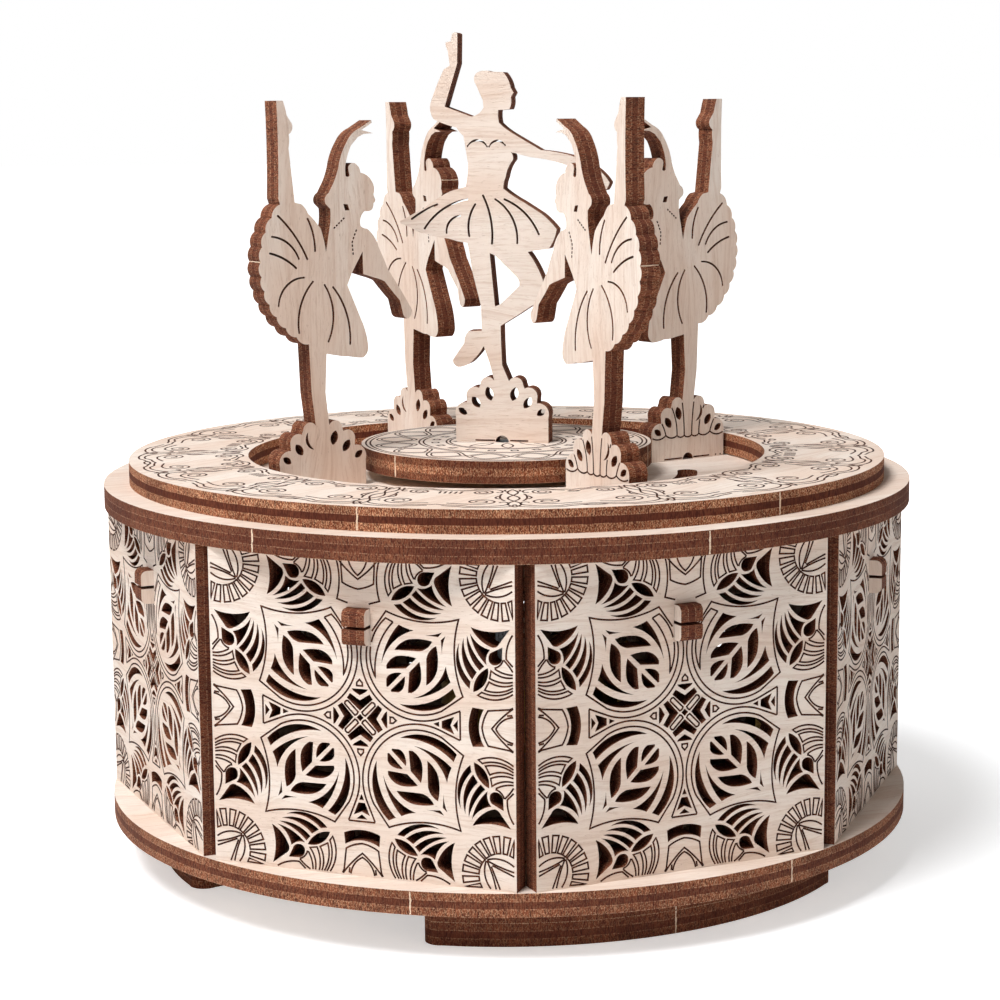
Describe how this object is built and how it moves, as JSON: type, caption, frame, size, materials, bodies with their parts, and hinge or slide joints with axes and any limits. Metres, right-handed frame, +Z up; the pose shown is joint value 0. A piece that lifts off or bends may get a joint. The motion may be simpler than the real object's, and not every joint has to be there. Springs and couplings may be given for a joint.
{
  "type": "wooden 3d jigsaw music box",
  "caption": "Plywood jigsaw music box: octagonal lattice drum on arc feet, turning platter and turntable with flat dancer figures.",
  "frame": {"origin": "centre of the underside of the feet", "axes": "+Z up along the turning axis; -Y faces one lattice panel and the middle of the front foot"},
  "size_m": [0.129, 0.129, 0.1304],
  "materials": {
    "birch_ply": "laser-cut birch plywood, burnt brown edges",
    "panel_ply": "laser-cut and engraved birch plywood, burnt brown edges",
    "disc_ply": "laser-cut and engraved birch plywood, burnt brown edges",
    "dancer_ply": "laser-cut birch plywood, burnt brown edges",
    "dowel_wood": "turned birch",
    "brass": "satin",
    "steel": "satin"
  },
  "bodies": {
    "case": {"base_plate": "birch_ply", "foot_front_lower": "birch_ply", "foot_front_upper": "birch_ply", "foot_right_lower": "birch_ply", "foot_right_upper": "birch_ply", "foot_left_lower": "birch_ply", "foot_left_upper": "birch_ply", "foot_dowels": "dowel_wood", "lattice_panel_1": "panel_ply", "lattice_panel_2": "panel_ply", "lattice_panel_3": "panel_ply", "lattice_panel_4": "panel_ply", "lattice_panel_5": "panel_ply", "lattice_panel_6": "panel_ply", "lattice_panel_7": "panel_ply", "lattice_panel_8": "panel_ply", "rib_1": "birch_ply", "rib_2": "birch_ply", "rib_3": "birch_ply", "rib_4": "birch_ply", "rib_5": "birch_ply", "rib_6": "birch_ply", "rib_7": "birch_ply", "rib_8": "birch_ply", "top_plate": "birch_ply", "scroll_ring": "disc_ply", "gear_deck": "birch_ply", "glide_ring": "dowel_wood", "planet_posts": "dowel_wood", "planet_washers": "dowel_wood", "shaft_bush": "brass", "movement_bedplate": "steel", "movement_spacers": "brass", "movement_screws": "steel", "cylinder_bracket_front": "brass", "cylinder_bracket_rear": "brass", "music_comb": "steel", "comb_block": "steel", "comb_screws": "steel", "governor_bracket": "brass"},
    "carousel": {"platter": "disc_ply", "platter_bush": "brass", "ring_gear": "birch_ply", "side_dancer_1": "dancer_ply", "side_dancer_2": "dancer_ply", "side_dancer_3": "dancer_ply", "side_dancer_4": "dancer_ply"},
    "centre_stage": {"turntable": "disc_ply", "centre_dancer": "dancer_ply", "drive_shaft": "steel", "sun_gear": "birch_ply", "spring_barrel": "brass"},
    "planet_1": {"planet_gear_1": "birch_ply"},
    "planet_2": {"planet_gear_2": "birch_ply"},
    "planet_3": {"planet_gear_3": "birch_ply"},
    "cylinder": {"music_cylinder": "brass"},
    "governor": {"governor_fly": "steel"},
    "key": {"winding_key": "steel", "spring_arbor": "steel"}
  },
  "joints": [
    {"name": "platter_spin", "type": "hinge", "parent": "case", "child": "carousel", "pos_m": [0, 0, 0.0585], "axis": [0, 0, 1], "continuous": true},
    {"name": "turntable_spin", "type": "hinge", "parent": "case", "child": "centre_stage", "pos_m": [0, 0, 0.0635], "axis": [0, 0, 1], "continuous": true},
    {"name": "planet_1_spin", "type": "hinge", "parent": "case", "child": "planet_1", "pos_m": [0, 0.024, 0.05], "axis": [0, 0, 1], "continuous": true},
    {"name": "planet_2_spin", "type": "hinge", "parent": "case", "child": "planet_2", "pos_m": [-0.02078, -0.012, 0.05], "axis": [0, 0, 1], "continuous": true},
    {"name": "planet_3_spin", "type": "hinge", "parent": "case", "child": "planet_3", "pos_m": [0.02078, -0.012, 0.05], "axis": [0, 0, 1], "continuous": true},
    {"name": "cylinder_spin", "type": "hinge", "parent": "case", "child": "cylinder", "pos_m": [0.019, 0, 0.024], "axis": [0, 1, 0], "continuous": true},
    {"name": "governor_spin", "type": "hinge", "parent": "case", "child": "governor", "pos_m": [0.031, -0.0145, 0.0225], "axis": [0, 0, 1], "continuous": true},
    {"name": "key_wind", "type": "hinge", "parent": "case", "child": "key", "pos_m": [0, 0, 0.004], "axis": [0, 0, 1], "continuous": true}
  ],
  "couplings": [
    {"joint": "turntable_spin", "follows": "platter_spin", "ratio": -4},
    {"joint": "planet_1_spin", "follows": "platter_spin", "ratio": 2.6667},
    {"joint": "planet_2_spin", "follows": "platter_spin", "ratio": 2.6667},
    {"joint": "planet_3_spin", "follows": "platter_spin", "ratio": 2.6667},
    {"joint": "cylinder_spin", "follows": "platter_spin", "ratio": -6},
    {"joint": "governor_spin", "follows": "platter_spin", "ratio": -60}
  ]
}
